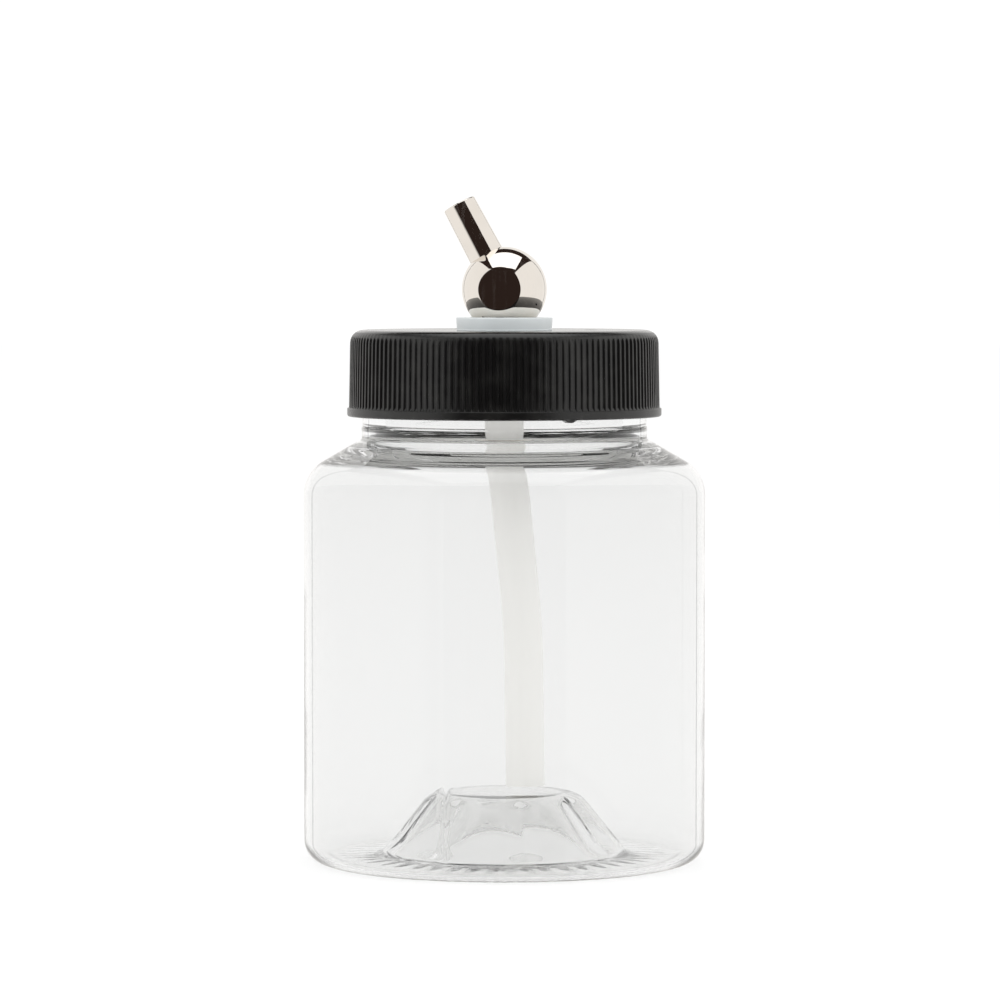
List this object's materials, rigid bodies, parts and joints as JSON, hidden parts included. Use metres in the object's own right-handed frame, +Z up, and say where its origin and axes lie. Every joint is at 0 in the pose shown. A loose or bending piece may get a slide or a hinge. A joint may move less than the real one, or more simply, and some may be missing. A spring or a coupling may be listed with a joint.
{
  "type": "airbrush siphon bottle",
  "caption": "Clear screw-neck siphon jar for an airbrush, with a ribbed cap, a swivelling metal adaptor with a tapered angled stem, and a dip tube.",
  "frame": {"origin": "centre of the jar's foot, on the surface it stands on", "axes": "+Z up the jar's axis, -Y the front, and the stem leans towards -X"},
  "size_m": [0.0526, 0.0526, 0.0872],
  "materials": {
    "clear_plastic": "clear, glossy",
    "black_plastic": "moulded, satin",
    "liner_foam": "matt foamed sheet",
    "natural_nylon": "translucent, satin",
    "bright_plating": "polished plating",
    "turned_plating": "plated over a turned surface",
    "milky_tube": "milky translucent"
  },
  "bodies": {
    "jar": {"jar": "clear_plastic"},
    "top_washer": {"top_washer": "natural_nylon"},
    "cap": {"screw_cap": "black_plastic", "cap_liner": "liner_foam"},
    "adaptor": {"adaptor_ball": "bright_plating", "angled_stem": "bright_plating", "threaded_shank": "turned_plating", "lower_washer": "natural_nylon", "clamp_nut": "turned_plating", "siphon_tube": "milky_tube"}
  },
  "joints": [
    {"name": "cap_rise", "type": "slide", "parent": "jar", "child": "top_washer", "axis": [0, 0, 1], "range_m": [0, 0.00484]},
    {"name": "cap_turn", "type": "hinge", "parent": "top_washer", "child": "cap", "pos_m": [0, 0, 0.0698], "axis": [0, 0, 1], "range_deg": [0, 410]},
    {"name": "adaptor_swivel", "type": "hinge", "parent": "cap", "child": "adaptor", "pos_m": [0, 0, 0.07145], "axis": [0, 0, 1], "continuous": true}
  ],
  "couplings": [
    {"joint": "cap_rise", "follows": "cap_turn", "m_per_rad": 0.00067375}
  ]
}
